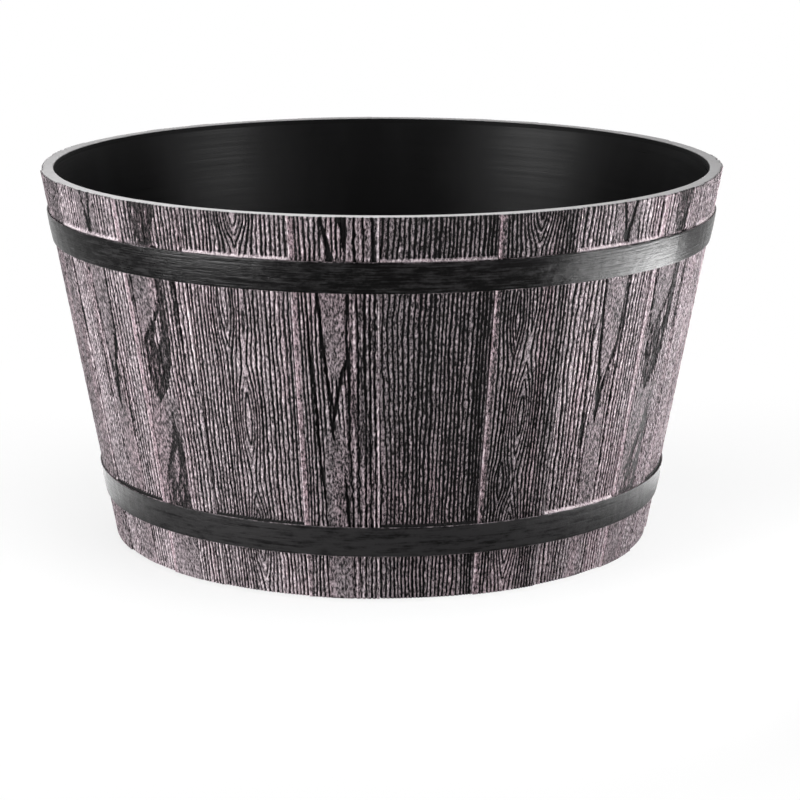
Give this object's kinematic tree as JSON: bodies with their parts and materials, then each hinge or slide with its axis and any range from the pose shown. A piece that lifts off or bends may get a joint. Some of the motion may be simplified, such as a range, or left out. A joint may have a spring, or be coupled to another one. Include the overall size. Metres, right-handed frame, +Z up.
{
  "type": "flower pot",
  "caption": "Half-barrel flower pot: a tapered black tub with drain holes, clad in wood-effect staves held by two dark hoops, with a flat rim ring.",
  "frame": {"origin": "on the ground, at the middle of the standing ring", "axes": "+Z up along the pot's axis, -Y towards the viewer of the picture, +X to the viewer's right"},
  "size_m": [0.3986, 0.3996, 0.22],
  "materials": {
    "tub_black": "smooth satin black",
    "rim_grey": "smooth light grey",
    "hoop_black": "satin black with fine lines along the band",
    "stave_wood_effect": "embossed wood grain, charcoal dry-brushed with rose grey"
  },
  "bodies": {
    "root": {"inner_tub": "tub_black", "rim_ring": "rim_grey", "upper_hoop": "hoop_black", "lower_hoop": "hoop_black", "narrow_stave_01": "stave_wood_effect", "wide_stave_01": "stave_wood_effect", "narrow_stave_02": "stave_wood_effect", "wide_stave_02": "stave_wood_effect", "narrow_stave_03": "stave_wood_effect", "wide_stave_03": "stave_wood_effect", "narrow_stave_04": "stave_wood_effect", "wide_stave_04": "stave_wood_effect", "narrow_stave_05": "stave_wood_effect", "wide_stave_05": "stave_wood_effect", "narrow_stave_06": "stave_wood_effect", "wide_stave_06": "stave_wood_effect", "narrow_stave_07": "stave_wood_effect", "wide_stave_07": "stave_wood_effect", "narrow_stave_08": "stave_wood_effect", "wide_stave_08": "stave_wood_effect", "narrow_stave_09": "stave_wood_effect", "wide_stave_09": "stave_wood_effect", "narrow_stave_10": "stave_wood_effect", "wide_stave_10": "stave_wood_effect", "narrow_stave_11": "stave_wood_effect", "wide_stave_11": "stave_wood_effect"}
  },
  "joints": []
}
